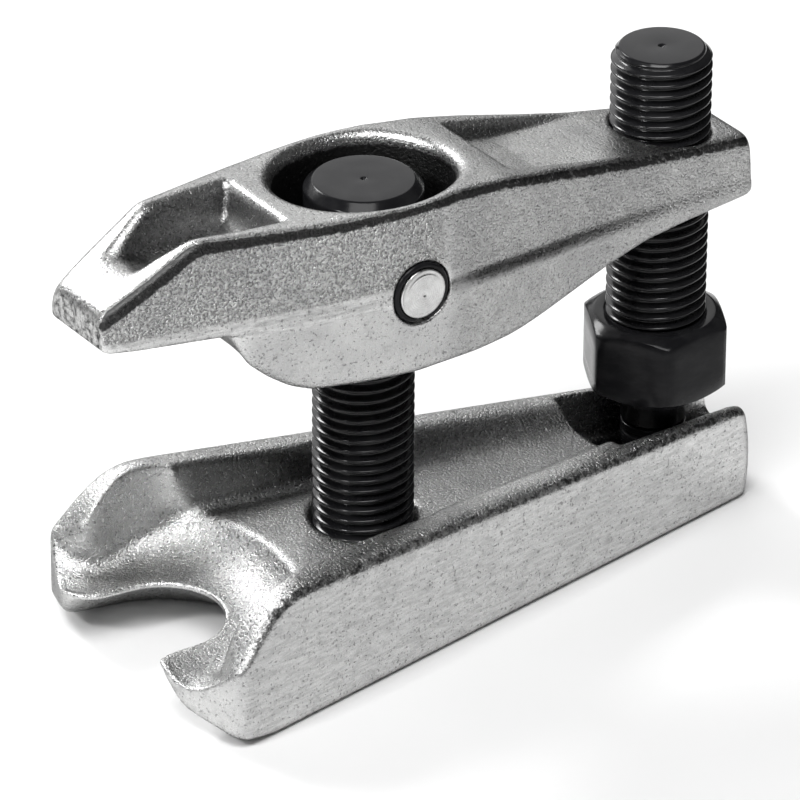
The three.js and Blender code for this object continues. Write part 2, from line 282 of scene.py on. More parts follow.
def fork_shell(x, y, z):
    """The body without its front end, and the front end's own surface."""
    a = np.abs(y)
    side = a - half_width(x) + BODY_DRAFT * np.maximum(z - DRAFT_Z, 0) + INSET
    front = FORK_TIP_X + INSET + FRONT_BULGE(a) - x
    rear = x - (BODY_REAR_X - INSET) + REAR_CROWN * (z - REAR_CROWN_Z) ** 2
    under = -above(UNDERSIDE, x, z) + INSET
    top_round = np.interp(x, [-47, -40, -30, 60], [1.8, 3.2, 3.6, 3.0])
    shell = smooth_max(side, rear, 3.0)
    shell = smooth_max(shell, above(WALL_TOP, x, z), top_round)
    shell = smooth_max(shell, under, BODY_EDGE_ROUND)
    return shell, smooth_max(smooth_max(side, front, 2.0), under, BODY_EDGE_ROUND)


def channel_void(x, a, z):
    """The long channel: a flat floor between flanks that lean outwards up to the crest."""
    rise = CREST_Z(x) - FLOOR_Z
    run = FLANK_TOP(x) - FLOOR_HALF(x)
    flank = ((a - FLOOR_HALF(x)) * rise - (z - FLOOR_Z) * run) / np.sqrt(rise**2 + run**2)
    channel = smooth_max(flank, FLOOR_Z - z, 2.2)
    return smooth_max(channel, CHANNEL_FRONT_X - x, 0.6)


def seat_void(x, a, z):
    """The seat for the joint's housing: a round back wall, steep sides and a dipping floor."""
    floor = SEAT_RIM(x) + SEAT_DIP(a) * np.interp(x, [-50, -44, -38, -30], [1, 0.8, 0.4, 0.2]) - z
    r = np.hypot(x - SEAT_X, a)
    slope = (r - SEAT_R) * math.sin(BACK_SLOPE) - (z - FLOOR_Z) * math.cos(BACK_SLOPE)
    back = np.maximum(slope, r - SEAT_R - 0.1)
    side = (a - SEAT_HALF(x) - SEAT_DRAFT * (z - 18)) / np.sqrt(1 + slope_of(SEAT_HALF, x) ** 2)
    return smooth_max(smooth_max(back, side, 3), floor, np.interp(x, [-48, -42], [7, 5]))


def shelf_void(x, a, z):
    """The pocket over the rear shelf that the thrust cap stands on."""
    wall = np.interp(x, [SHELF_X, BODY_REAR_X], SHELF_WALLS)
    side = a - (half_width(x) - wall) - SHELF_DRAFT * (z - SHELF_Z)
    return smooth_max(smooth_max(side, SHELF_Z - z, 2), SHELF_X - x, 1.0)


def notch_void(x, a, z):
    """The notch between the prongs, with the bevel under its edge."""
    ahead = a - NOTCH_R - NOTCH_FLARE(x)
    slot = np.where(x > NOTCH_X, np.hypot(x - NOTCH_X, a) - NOTCH_R, ahead)
    under = np.maximum(SEAT_RIM(x) - NOTCH_EDGE - z, 0)
    return np.minimum(slot, (slot - BEVEL_RUN * under) / math.hypot(1, BEVEL_RUN))


def screw_hole(x, y, z):
    """The height screw's hole, chamfered at the channel floor."""
    gap = np.hypot(x, y) - THREAD_R - RUNNING
    return np.minimum(gap, (gap - (z - FLOOR_Z + 1)) / math.sqrt(2))


def fork_field(x, y, z):
    a = np.abs(y)
    shell, front = fork_shell(x, y, z)
    field = smooth_max(shell, -channel_void(x, a, z), np.interp(x, [-20, 0], [1.0, 1.9]))
    seat_round = np.interp(x, [-47, -44, -41], [3.0, 1.8, 0.8])
    field = smooth_max(field, -seat_void(x, a, z), seat_round)
    field = smooth_max(field, front, 0.5)
    field = smooth_max(field, -shelf_void(x, a, z), 0.9)
    field = smooth_max(field, -notch_void(x, a, z), 0.35)
    return smooth_max(field, -screw_hole(x, y, z), 0.3)


# ---------- lever ----------
LEVER_HALF = stations([(-60, 8.2), (-57, 9.6), (-50, 10.8), (-40, 12.2), (-30, 14.3), (-20, 16.3),
                       (-10, 17.9), (0, 18.7), (10, 18.2), (20, 17.5), (30, 16.4), (40, 15.0),
                       (50, 13.6), (60, 12.4), (LEVER_REAR_X, 11.2)], 6)
LEVER_TOP = stations([(-60, 76), (-56.8, 78.1), (-41.2, 86.7), (-39.6, 87.25), (-15, 85.9), (10, 85.3),
                      (20, 84.2), (30, 82.3), (40, 80.2), (50, 78.3), (60, 76.8),
                      (LEVER_REAR_X, 74.8)], 1.4)
LEVER_BELLY = stations([(-62, 71.4), (-57, 70.7), (-35.5, 69.2), (-34, 67.4), (-33, 64.8), (-32, 62.9),
                        (-28, 59.3), (-24, 56.6), (-20, 55.0), (-12, 54.2), (0, 53.3), (12, 53.4),
                        (20, 54.0), (24, 54.8), (28, 55.9), (32, 57.1), (42, 60.0), (51, 61.9),
                        (60, 62.5), (LEVER_REAR_X, 63.4)], 1.5)
PARTING = stations([(-62, 70.4), (-30, 69.6), (8, 69.3), (33, 68.6), (50, 67.4), (73, 65.8),
                    (80, 65.4)], 8)
DRAFT = 0.095                                     # half width lost per mm away from the parting line
BOSS_NOSE_X = -34.4                               # front of the boss round the pin
NOSE_RUN = 4                                      # the boss reaches its width this far behind it
LEDGE_X = [4, 14, 50, 74]                         # stations of the ledge behind the pin
TIP_Z, TIP_CROWN = 74, 0.055                      # foremost level of the tip and its bulge
LEVER_REAR_Z, LEVER_REAR_CROWN = 69, 0.006        # the same of the rear end
OPENING_A, OPENING_B = 17.6, 14.2                 # half length and half width of the oval opening
OPENING_END_Z = 50                                # ends below the belly, so the opening goes through
RECESS_Z = 80                                     # level at which the tip's recess is measured
RECESS_X, RECESS_HALF = -50, 2.4                  # its half width at this place
RECESS_TAPER = 0.16                               # half width gained per mm towards the rear
RECESS_BACK_X = -24.3
RECESS_FLOOR_Z = 79.6
DISH_FRONT_X = 23.5                               # front of the shallow dish in the top
SCOOP_DEPTH = 6.5                                 # hollow under the boss's nose
SCOOP_HALF = 11.5
BELLY_SLANT = 0.8                                 # distance to the belly per mm straight up there


def lever_sides(x, a, z):
    """The lever's sides, which change over at the parting line from the boss to the upper half."""
    up = z - PARTING(x)
    upper = a - (LEVER_HALF(x) - DRAFT * np.maximum(up, 0)) + 0.4
    upper = upper + np.interp(x, LEDGE_X, [0, 0.5, 0.5, 0.1])
    t = np.clip((x - BOSS_NOSE_X) / NOSE_RUN, 0, 1)
    nose = 0.9 + 0.1 * np.sqrt(t * (2 - t))
    ledge = np.interp(x, LEDGE_X, [0, 1.0, 0.9, 0.3])
    boss_half = LEVER_HALF(x) * nose + ledge * 0.4
    lower = a - (boss_half - DRAFT * np.maximum(-up, 0)) + 0.25
    front_lower = np.where(up > -0.6, np.minimum(lower, upper), lower)
    lower = np.where(x < -20, front_lower, lower)
    blend = np.clip((up + 1.6) / 3.2, 0, 1)
    blend = blend * blend * (3 - 2 * blend)
    return lower * (1 - blend) + upper * blend


def lever_shell(x, a, z):
    """The lever without its openings."""
    tip = TIP_X + INSET + TIP_CROWN * (z - TIP_Z) ** 2 * np.where(z > TIP_Z, 1.0, 0.45) - x
    rear = x - (LEVER_REAR_X - INSET) + LEVER_REAR_CROWN * (z - LEVER_REAR_Z) ** 2
    top_round = np.interp(x, [-60, -40, 0, 30, 70], [2.8, 2.6, 2.0, 2.2, 2.8])
    belly_round = np.interp(x, [-60, -40, -34, 20, 60], [1.0, 1.2, 1.5, 2.0, 1.6])
    along = np.interp(x, [-33, -30, -26, -18], [0, 1, 1, 0])
    scoop = SCOOP_DEPTH * np.clip(1 - (a / SCOOP_HALF) ** 2, 0, 1) * along
    body = smooth_max(lever_sides(x, a, z), above(LEVER_TOP, x, z), top_round)
    body = smooth_max(body, tip, 1.0)
    body = smooth_max(body, rear, 1.9)
    return smooth_max(body, -above(LEVER_BELLY, x, z) + BELLY_SLANT * scoop, belly_round)


def oval_opening(x, y, z):
    """The opening round the height screw's head, a little narrower with depth."""
    narrowing = np.clip(LEVER_TOP(x) - z, 0, 30) ** 0.75 * 0.36
    bowl = ellipse_distance(x, y, OPENING_A - narrowing, OPENING_B - narrowing)
    return np.maximum(bowl, OPENING_END_Z - z)


def tip_recess(x, a, z):
    """The tapered recess behind the pressing tip."""
    half = RECESS_HALF + (x - RECESS_X) * RECESS_TAPER
    side = a - half - 0.36 * (z - RECESS_Z)
    back = x - RECESS_BACK_X - 0.35 * (z - RECESS_Z)
    floor = RECESS_FLOOR_Z + np.maximum(-43 - x, 0) * 0.3
    return smooth_max(smooth_max(side, back, 1.6), floor - z, 2.4)


def rear_dish(x, a, z):
    """The shallow dish in the top behind the opening."""
    top = LEVER_TOP(x)
    floor = top - np.interp(x, [22, 25, 32, 50, 52], [0, 2.9, 2.6, 0.25, 0])
    half = np.interp(x, [22, 52], [10.6, 9.4])
    dish = smooth_max(a - half - 0.8 * (z - top), floor - z, 1.0)
    return smooth_max(dish, DISH_FRONT_X - x, 2)


def lever_field(x, y, z):
    a = np.abs(y)
    body = smooth_max(lever_shell(x, a, z), -oval_opening(x, y, z), 1.7)
    recess_round = np.interp(x, [-52, -46, -30, -25], [3.0, 1.9, 1.9, 1.2])
    body = smooth_max(body, -tip_recess(x, a, z), recess_round)
    body = smooth_max(body, -rear_dish(x, a, z), 0.9)
    body = smooth_max(body, THREAD_R + RUNNING - np.hypot(x - FORCE_X, y), 0.5)
    from_pin = np.hypot(x, z - PIN_Z)
    body = smooth_max(body, PIN_R + RUNNING / 2 - from_pin, 0.2)
    ring_seat = np.maximum(from_pin - RING_SEAT_R, PIN_HALF - RING_SEAT_DEPTH - a)
    return smooth_max(body, -ring_seat, 0.5)


# ---------- meshes ----------
ANGLES = np.linspace(0, 2 * math.pi, 96, endpoint=False)      # round every turned piece


def to_object(name, verts_mm, faces, material):
    """A smooth-shaded mesh object from vertices in tool millimetres."""
    verts = (np.asarray(verts_mm, float) + [SCREW_X, 0, 0]) * MM
    mesh = bpy.data.meshes.new(name)
    mesh.from_pydata(verts.tolist(), [], [tuple(int(i) for i in f) for f in faces])
    mesh.validate()
    mesh.shade_smooth()
    mesh.materials.append(material)
    obj = bpy.data.objects.new(name, mesh)
    bpy.context.scene.collection.objects.link(obj)
    return obj


def place(obj, body, node):
    """Puts a piece on its body, in place of a CAD node."""
    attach(obj, body)
    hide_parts(node)


def revolved(rings):
    """Vertices and faces of a closed turned piece from rings of (radius, height) over the angles.

    The first and last ring lie on the axis and become single points."""
    radius = np.array([np.broadcast_to(r, len(ANGLES)) for r, _ in rings[1:-1]])
    height = np.array([np.broadcast_to(z, len(ANGLES)) for _, z in rings[1:-1]])
    n_rings, n = radius.shape
    around = np.stack([radius * np.cos(ANGLES), radius * np.sin(ANGLES), height], 2).reshape(-1, 3)
    ends = [[0, 0, float(np.mean(rings[0][1]))], [0, 0, float(np.mean(rings[-1][1]))]]
    verts = np.vstack([around, ends])
    first, last = n_rings * n, n_rings * n + 1
    faces = []
    for i in range(n_rings - 1):
        for j in range(n):
            k = (j + 1) % n
            faces.append((i * n + j, i * n + k, (i + 1) * n + k, (i + 1) * n + j))
    top = (n_rings - 1) * n
    for j in range(n):
        k = (j + 1) % n
        faces.append((first, k, j))
        faces.append((last, top + j, top + k))
    return verts, faces


def rounded(points, r, steps=4):
    """A (radius, height) profile with each inner corner rounded by r."""
    out = [points[0]]
    for before, here, after in zip(points, points[1:], points[2:]):
        p = np.array(here, float)
        to_a, to_b = np.array(before, float) - p, np.array(after, float) - p
        cut = min(r, 0.45 * np.linalg.norm(to_a), 0.45 * np.linalg.norm(to_b))
        a = p + to_a / np.linalg.norm(to_a) * cut
        b = p + to_b / np.linalg.norm(to_b) * cut
        for i in range(steps + 1):
            t = i / steps
            out.append(tuple((1 - t) ** 2 * a + 2 * t * (1 - t) * p + t * t * b))
    out.append(points[-1])
    return out


THREAD_STEP = 0.125       # height of a ring
THREAD_DEPTH = 0.61 * THREAD_PITCH
THREAD_CREST, THREAD_ROOT = 0.16, 0.2             # flats, as parts of the pitch


def thread_radius(z, start):
    """Radius of a right-hand metric thread at height z, for every angle."""
    phase = ((z - start) / THREAD_PITCH - ANGLES / (2 * math.pi)) % 1.0
    rise = (1 - THREAD_CREST - THREAD_ROOT) / 2
    t = np.clip((np.abs(phase - 0.5) - THREAD_ROOT / 2) / rise, 0, 1)
    t = t * t * (3 - 2 * t) * 0.35 + t * 0.65
    return THREAD_R - THREAD_DEPTH * (1 - t)


def threaded_rings(z0, z1, low_r=None, high_r=None):
    """Rings of a threaded length, with an end chamfered at 45 degrees where its end radius is given."""
    rings = []
    for z in np.arange(z0, z1 + THREAD_STEP / 2, THREAD_STEP):
        r = thread_radius(z, z0)
        if low_r:
            r = np.minimum(r, low_r + (z - z0))
        if high_r:
            r = np.minimum(r, high_r + (z1 - z))
        rings.append((r, z))
    return rings


HEAD_HEIGHT = 25.9
NECK_UNDER_HEAD = 7.8                             # radius between head and thread


def height_screw():
    """The height screw, from its chamfered lower end to the head with its centre mark."""
    under = HEAD_TOP - HEAD_HEIGHT
    face = [(0, HEAD_TOP - 0.55), (0.25, HEAD_TOP - 0.3), (0.6, HEAD_TOP - 0.02), (3, HEAD_TOP),
            (6, HEAD_TOP), (HEAD_R - 1.6, HEAD_TOP), (HEAD_R, HEAD_TOP - 1.5), (HEAD_R, under + 1),
            (HEAD_R - 0.8, under), (NECK_UNDER_HEAD, under - 2.2)]
    rings = [(0, SCREW_END), (3.5, SCREW_END), (6.9, SCREW_END)]
    rings += threaded_rings(SCREW_END + 0.1, under - 3.4, 7.1, NECK_UNDER_HEAD)
    rings += rounded(face, 0.3)[::-1]
    return revolved(rings)


HEX_AF = 24.0                                     # hexagon of the forcing screw, across flats
HEX_TURN = math.radians(4)                        # one corner's place about the screw's axis
HEX_TOP = 39.6
HEX_LOW = 25.2
HEX_CORNER_ROUND = 0.35
HEX_EDGE = 0.12                                   # size of the worn edge between chamfer and side
COLLAR_R = 8.0                                    # collar between the hexagon and the neck
NECK_R = 5.9
STUB_R = 3.5                                      # stub that the thrust cap sits on


def forcing_thread():
    """The forcing screw's thread, from inside the hexagon to the top face with its centre mark."""
    low = HEX_TOP - 1
    top = FORCE_TOP
    rings = [(0, low), (4, low), (7.7, low)]
    rings += threaded_rings(low + 0.1, top - 0.35, high_r=7.75)
    face = [(0, top - 0.5), (0.3, top - 0.25), (0.7, top - 0.02), (3.4, top), (7.46, top),
            (7.8, top - 0.32)]
    rings += rounded(face, 0.2)[:-1][::-1]
    verts, faces = revolved(rings)
    return verts + [FORCE_X, 0, 0], faces


def hexagon():
    """The forcing screw's hexagon with its 30 degree chamfers, and the collar, neck and stub below."""
    offset = np.degrees(ANGLES - HEX_TURN) % 60 - 30
    across = HEX_AF / 2 / np.cos(np.radians(offset))
    corner = HEX_AF / math.sqrt(3)
    soft = HEX_CORNER_ROUND
    hexa = -np.logaddexp(-across / soft, -(corner - 0.12) / soft) * soft
    hexa = np.minimum(across, hexa + 0.02)
    cone_r = HEX_AF / 2 - 1.1
    drop = np.maximum(hexa - cone_r, 0) * math.tan(math.radians(30))
    edge = HEX_EDGE

    def chamfer(t):
        """Radius and depth at the part t of the way from the face to the side."""
        return cone_r + (hexa - edge - cone_r) * t, (drop - edge * 0.3) * t

    rings = [(0, FORCE_END), (1.2, FORCE_END), (2.6, FORCE_END), (STUB_R - 0.1, FORCE_END + 0.8),
             (STUB_R, FORCE_END + 1.2), (STUB_R, CAP_TOP + 0.3), (NECK_R - 0.4, CAP_TOP + 0.3),
             (NECK_R, CAP_TOP + 0.7), (NECK_R, HEX_LOW - 3.2), (NECK_R + 0.5, HEX_LOW - 2.5),
             (COLLAR_R - 0.2, HEX_LOW - 2.4), (COLLAR_R, HEX_LOW - 2.2), (COLLAR_R, HEX_LOW - 0.3),
             (COLLAR_R + 0.3, HEX_LOW), (cone_r - edge, HEX_LOW),
             (cone_r + edge * 0.6, HEX_LOW + edge * 0.4)]
    for t in (0.35, 0.7, 1):
        r, depth = chamfer(t)
        rings.append((r, HEX_LOW + depth))
    for t in (0, 0.25, 0.5, 0.75):
        rings.append((hexa, HEX_LOW + drop + edge + (HEX_TOP - HEX_LOW - 2 * drop - 2 * edge) * t))
    rings.append((hexa, HEX_TOP - drop - edge))
    for t in (1, 0.7, 0.35):
        r, depth = chamfer(t)
        rings.append((r, HEX_TOP - depth))
    rings += [(cone_r + edge * 0.6, HEX_TOP - edge * 0.4), (cone_r - edge, HEX_TOP), (9.4, HEX_TOP),
              (9.0, HEX_TOP - 0.1), (8.2, HEX_TOP - 0.5), (4, HEX_TOP - 0.5), (0, HEX_TOP - 0.5)]
    verts, faces = revolved(rings)
    return verts + [FORCE_X, 0, 0], faces


def lying(verts):
    """Turns a piece made along z to lie along y at the pivot's height."""
    x, y, z = np.asarray(verts).T
    return np.stack([x, z, PIN_Z - y], 1)


def pin():
    """The pivot pin along z, with turned rings on its end faces and a groove for each wire ring."""
    r, half = PIN_R, PIN_HALF
    end = [(0, half - 0.3), (0.35, half - 0.12), (0.5, half - 0.02)]
    for ring_r in np.arange(0.8, r - 1.0, 0.42):
        end += [(ring_r, half - 0.08), (ring_r + 0.14, half - 0.01), (ring_r + 0.28, half)]
    end += [(r - 0.8, half), (r, half - 0.8)]
    side = [(r, RING_Y + 0.85), (r - 0.6, RING_Y + 0.8), (r - 0.6, RING_Y - 0.8), (r, RING_Y - 0.85)]
    upper = end + side
    lower = [(q, -z) for q, z in upper]
    return revolved([tuple(p) for p in lower + upper[::-1]])


def pin_ring(side):
    """An open wire ring in the pin's groove."""
    wire_r, ring_r = 0.62, 5.0
    gap = math.radians(24)
    turns = np.linspace(-math.pi / 2 + gap / 2, 1.5 * math.pi - gap / 2, 72)
    section = np.linspace(0, 2 * math.pi, 14, endpoint=False)
    verts, faces = [], []
    for t in turns:
        for s in section:
            q = ring_r + wire_r * math.cos(s)
            verts.append((q * math.cos(t), side * RING_Y + wire_r * math.sin(s), PIN_Z + q * math.sin(t)))
    n = len(section)
    for i in range(len(turns) - 1):
        for j in range(n):
            k = (j + 1) % n
            faces.append((i * n + j, (i + 1) * n + j, (i + 1) * n + k, i * n + k))
    faces.append(tuple(range(n)))
    faces.append(tuple(reversed(range((len(turns) - 1) * n, len(turns) * n))))
    return verts, faces


def cap():
    """The thrust cap, with a groove under its rim and a socket for the stub."""
    socket = STUB_R + 0.1
    floor = FORCE_END - 0.3
    profile = [(0, CAP_LOW), (2.2, CAP_LOW), (4.6, CAP_LOW + 0.6), (NECK_R, CAP_LOW + 2),
               (NECK_R, CAP_TOP - 2.2), (NECK_R - 0.35, CAP_TOP - 1.9), (NECK_R - 0.35, CAP_TOP - 1.5),
               (NECK_R, CAP_TOP - 1.2), (NECK_R, CAP_TOP), (socket, CAP_TOP), (socket, floor), (0, floor)]
    verts, faces = revolved([tuple(p) for p in rounded(profile, 0.25)])
    return verts + [FORCE_X, 0, 0], faces


# ---------- materials ----------
class Shader:
    """A material whose nodes are added in code; lengths in its textures are object millimetres."""

    def __init__(self, name, metallic, roughness):
        self.material = bpy.data.materials.new(name)
        self.material.use_nodes = True
        self.tree = self.material.node_tree
        self.bsdf = self.tree.nodes["Principled BSDF"]
        self.bsdf.inputs["Metallic"].default_value = metallic
        self.bsdf.inputs["Roughness"].default_value = roughness
        self.coords = self.node("ShaderNodeTexCoord").outputs["Object"]

    def node(self, kind, **settings):
        n = self.tree.nodes.new(kind)
        for key, value in settings.items():
            setattr(n, key, value)
        return n

    def link(self, source, target):
        self.tree.links.new(source, target)

    def space(self, scale, offset=(0, 0, 0)):
        """Object coordinates times scale per millimetre, moved by offset."""
        m = self.node("ShaderNodeMapping")
        self.link(self.coords, m.inputs["Vector"])
        m.inputs["Scale"].default_value = [v / MM for v in scale]
        m.inputs["Location"].default_value = offset
        return m.outputs["Vector"]

    def noise(self, scale, detail=2.0, rough=0.5, distortion=0.0, offset=(0, 0, 0)):
        n = self.node("ShaderNodeTexNoise")
        scale = scale if hasattr(scale, "__len__") else (scale,) * 3
        self.link(self.space(scale, offset), n.inputs["Vector"])
        n.inputs["Scale"].default_value = 1.0
        n.inputs["Detail"].default_value = detail
        n.inputs["Roughness"].default_value = rough
        n.inputs["Distortion"].default_value = distortion
        return n.outputs["Fac"]

    def ramp(self, value, low, high, out_low=0.0, out_high=1.0):
        """The value from low to high, eased, as out_low to out_high."""
        n = self.node("ShaderNodeMapRange", interpolation_type="SMOOTHSTEP")
        self.link(value, n.inputs["Value"])
        limits = (("From Min", low), ("From Max", high), ("To Min", out_low), ("To Max", out_high))
        for name, v in limits:
            n.inputs[name].default_value = v
        return n.outputs["Result"]

    def math(self, operation, a, b=0.0):
        n = self.node("ShaderNodeMath", operation=operation)
        for socket, v in zip(n.inputs, (a, b)):
            if isinstance(v, (int, float)):
                socket.default_value = v
            else:
                self.link(v, socket)
        return n.outputs["Value"]

    def times(self, a, b):
        return self.math("MULTIPLY", a, b)

    def mask(self, name):
        return self.node("ShaderNodeAttribute", attribute_name=name).outputs["Fac"]

    def mix(self, factor, a, b):
        n = self.node("ShaderNodeMix", data_type="RGBA")
        sockets = [s for s in n.inputs if s.enabled]
        for socket, v in zip(sockets, (factor, a, b)):
            if isinstance(v, (int, float)):
                socket.default_value = v
            elif isinstance(v, tuple):
                socket.default_value = (*v, 1)
            else:
                self.link(v, socket)
        return [s for s in n.outputs if s.enabled][0]

    def bump(self, height, strength, distance_mm):
        n = self.node("ShaderNodeBump")
        self.link(height, n.inputs["Height"])
        n.inputs["Strength"].default_value = strength
        n.inputs["Distance"].default_value = distance_mm * MM
        return n.outputs["Normal"]

    def finish(self, color, roughness, normal):
        self.link(color, self.bsdf.inputs["Base Color"])
        self.link(roughness, self.bsdf.inputs["Roughness"])
        self.link(normal, self.bsdf.inputs["Normal"])
        return self.material


def grey(value):
    return (value, value, value)


def plated_forging():
    """Zinc-plated forging skin: grain, pits, brushed bands, darker hollows, bright worn edges, painted
    shade, painted dark reflections and a painted highlight.
    """
    s = Shader("plated_forging", 1.0, 0.3)
    s.bsdf.inputs["Specular Tint"].default_value = (0.3, 0.3, 0.3, 1)
    # Two of these masks paint shade and dark reflections into the colour, and the one for ground faces
    # also paints a highlight on the lever's tip.
    pitted, ground_and_painted_highlight, painted_shade_and_dark_reflection, shade = s.mask("pitted"), s.mask("ground_and_painted_highlight"), s.mask("painted_shade_and_dark_reflection"), s.mask("shade")
    edge, hollow = s.mask("edge"), s.mask("hollow")
    fine = s.noise(3.4, 2, 0.6)
    grain = s.noise(2.1, 2, 0.65, 0.2, (7, 3, 1))
    blotch = s.noise(0.09, 3, 0.6, 0, (3, 9, 4))
    dirt_and_shade_patches = s.noise(0.45, 4, 0.7, 0, (11, 2, 8))
    ragged = s.noise(0.8, 4, 0.75, 0, (2, 6, 5))
    specks = s.ramp(s.noise(1.9, 1, 0.5, 0.4, (5, 5, 2)), 0.30, 0.36, 1, 0)
    brush = s.noise((0.03, 1.5, 1.7), 4, 0.7, 0, (1, 4, 9))

    # Relief: lumps and fine grain on the skin, strokes where it is ground, and single pits.
    skin = s.math("SUBTRACT", 1.0, ground_and_painted_highlight)
    lumps = s.ramp(grain, 0.3, 0.68)
    depth = s.math("ADD", s.times(pitted, 3.6), 0.5)
    fine_depth = s.math("ADD", s.times(skin, 0.35), 0.2)
    height = s.times(lumps, s.times(depth, skin))
    height = s.math("ADD", height, s.times(fine, fine_depth))
    height = s.math("ADD", height, s.times(brush, s.times(ground_and_painted_highlight, 0.8)))
    height = s.math("SUBTRACT", height, s.times(specks, 0.5))
    normal = s.bump(height, 1.0, 0.085)

    # Tone: each pair is how strongly a mark covers what lies under it, and the mark's own tone.
    tone = s.mix(s.ramp(blotch, 0.3, 0.7), grey(0.50), (0.60, 0.60, 0.595))
    # Bright worn edges are left out under the painted shade and dark reflections.
    outside_painted_shade = s.math("SUBTRACT", 1.0, s.math("MINIMUM", s.times(painted_shade_and_dark_reflection, 2.0), 1.0))
    worn = s.times(s.times(edge, outside_painted_shade), s.ramp(dirt_and_shade_patches, 0.35, 0.6, 1, 0.3))
    marks = [
        # ground faces lighter; on the lever's sloped tip this lighter tone is a painted highlight
        (s.times(ground_and_painted_highlight, 0.6), (0.70, 0.70, 0.695)),
        (s.times(ground_and_painted_highlight, s.ramp(brush, 0.35, 0.62, 0.55, 0)), grey(0.30)),
        (s.times(s.ramp(dirt_and_shade_patches, 0.52, 0.72), 0.35), grey(0.22)),
        (s.times(pitted, s.ramp(grain, 0.38, 0.6, 0.6, 0)), grey(0.13)),
        (s.times(pitted, s.ramp(grain, 0.55, 0.7, 0, 0.3)), (0.85, 0.85, 0.84)),
        (s.times(specks, 0.5), grey(0.08)),
        # darker where the skin curves inwards
        (s.times(hollow, s.ramp(dirt_and_shade_patches, 0.25, 0.6, 0.25, 0.8)), grey(0.14)),
        # painted shade in the channel, over the shelf, and in the lever's recess, dish and groove
        (s.times(shade, s.ramp(dirt_and_shade_patches, 0.3, 0.7, 0.95, 0.75)), grey(0.10)),
        (s.times(worn, 0.6), (0.82, 0.82, 0.81)),
    ]
    for strength, own_tone in marks:
        tone = s.mix(strength, tone, own_tone)
    # Painted shade and painted dark reflection: a ragged, near-black cover with a rougher skin.
    breakup = s.times(s.math("SUBTRACT", ragged, 0.5), 1.1)
    cover = s.ramp(s.math("ADD", painted_shade_and_dark_reflection, breakup), 0.3, 0.6)
    tone = s.mix(s.times(cover, 0.93), tone, grey(0.02))
    rough = s.math("ADD", s.ramp(grain, 0.3, 0.7, 0.24, 0.36), s.times(cover, 0.12))
    return s.finish(tone, rough, normal)


def black_oxide():
    """Blackened, lightly oiled steel with faint turning marks."""
    s = Shader("black_oxide", 0.0, 0.3)
    s.link(s.ramp(s.mask("thread"), 0, 1, 0.12, 0.3), s.bsdf.inputs["Specular IOR Level"])
    fine = s.noise(4.0, 2, 0.6)
    smear = s.noise((0.25, 0.25, 0.5), 3, 0.6, 0, (4, 1, 7))
    turning = s.noise((0.4, 0.4, 9.0), 2, 0.6, 0, (2, 8, 3))
    height = s.math("ADD", s.times(fine, 0.5), s.times(turning, 0.5))
    normal = s.bump(height, 0.5, 0.02)
    tone = s.mix(s.ramp(smear, 0.35, 0.75), (0.008, 0.008, 0.009), (0.014, 0.014, 0.015))
    rough = s.ramp(smear, 0.3, 0.7, 0.14, 0.2)
    return s.finish(tone, rough, normal)


def bright_steel():
    """Bright turned steel: its rings are in the mesh, and its fine grain is made here."""
    s = Shader("bright_steel", 1.0, 0.3)
    fine = s.noise(5.0, 2, 0.6)
    smear = s.noise(0.6, 3, 0.6, 0, (4, 1, 7))
    normal = s.bump(fine, 0.4, 0.02)
    tone = s.mix(s.ramp(smear, 0.35, 0.7), (0.58, 0.58, 0.575), (0.70, 0.70, 0.695))
    rough = s.ramp(smear, 0.3, 0.7, 0.24, 0.36)
    return s.finish(tone, rough, normal)


plated = plated_forging()
black = black_oxide()
bright = bright_steel()


# ---------- surface masks ----------
def convexity(mesh, rounds):
    """Signed curvature per vertex in 1/mm, positive on outer edges, averaged over some rings."""
    n = len(mesh.vertices)
    co = np.empty(n * 3)
    mesh.vertices.foreach_get("co", co)
    co = co.reshape(-1, 3) / MM
    ends = np.empty(len(mesh.edges) * 2, np.int64)
    mesh.edges.foreach_get("vertices", ends)
    a, b = ends.reshape(-1, 2).T
    normals = np.empty(n * 3)
    mesh.vertex_normals.foreach_get("vector", normals)
    normals = normals.reshape(-1, 3)
    degree = np.bincount(a, minlength=n) + np.bincount(b, minlength=n)

    def around(values):
        return (np.bincount(a, values[b], n) + np.bincount(b, values[a], n)) / degree

    mean = np.stack([around(co[:, i]) for i in range(3)], 1)
    reach = around(np.ones(n)) * PITCH**2
    value = -((mean - co) * normals).sum(1) * 4 / reach
    for _ in range(rounds):
        value = 0.5 * value + 0.5 * around(value)
    return value, co - [SCREW_X, 0, 0], normals


def set_mask(mesh, name, values):
    layer = mesh.attributes.new(name, "FLOAT", "POINT")
    layer.data.foreach_set("value", np.clip(values, 0, 1).astype(np.float32))


def step(value, low, high):
    t = np.clip((value - low) / (high - low), 0, 1)
    return t * t * (3 - 2 * t)


def mask_forging(obj, masks):
    """Stores the given masks, and where the skin curves outwards or inwards."""
    curve, co, normals = convexity(obj.data, 6)
    x, y, z = co.T
    for name, mask in masks.items():
        set_mask(obj.data, name, mask(x, y, z, normals))
    set_mask(obj.data, "edge", step(curve, 0.25, 1.0))
    set_mask(obj.data, "hollow", step(-curve, 0.15, 0.8))


def mask_thread(obj, top):
    """Marks the oiled thread, which shines more than the plain faces above it."""
    z = np.array([v.co.z for v in obj.data.vertices]) / MM
    set_mask(obj.data, "thread", z < top)


def outwards(y, n):
    """How far the normal points away from the tool's long plane."""
    return np.sign(y) * n[:, 1]


def outer_shoulder(y, n):
    """The rounding between an outer side and the top, where a dark reflection is painted."""
    strength = np.where(y < 0, 1.0, 0.3)          # the painted dark reflection is weaker on the far side
    rounding = step(n[:, 2], 0.1, 0.4) * (1 - step(n[:, 2], 0.8, 0.97))
    return strength * rounding * step(outwards(y, n), 0.2, 0.4)


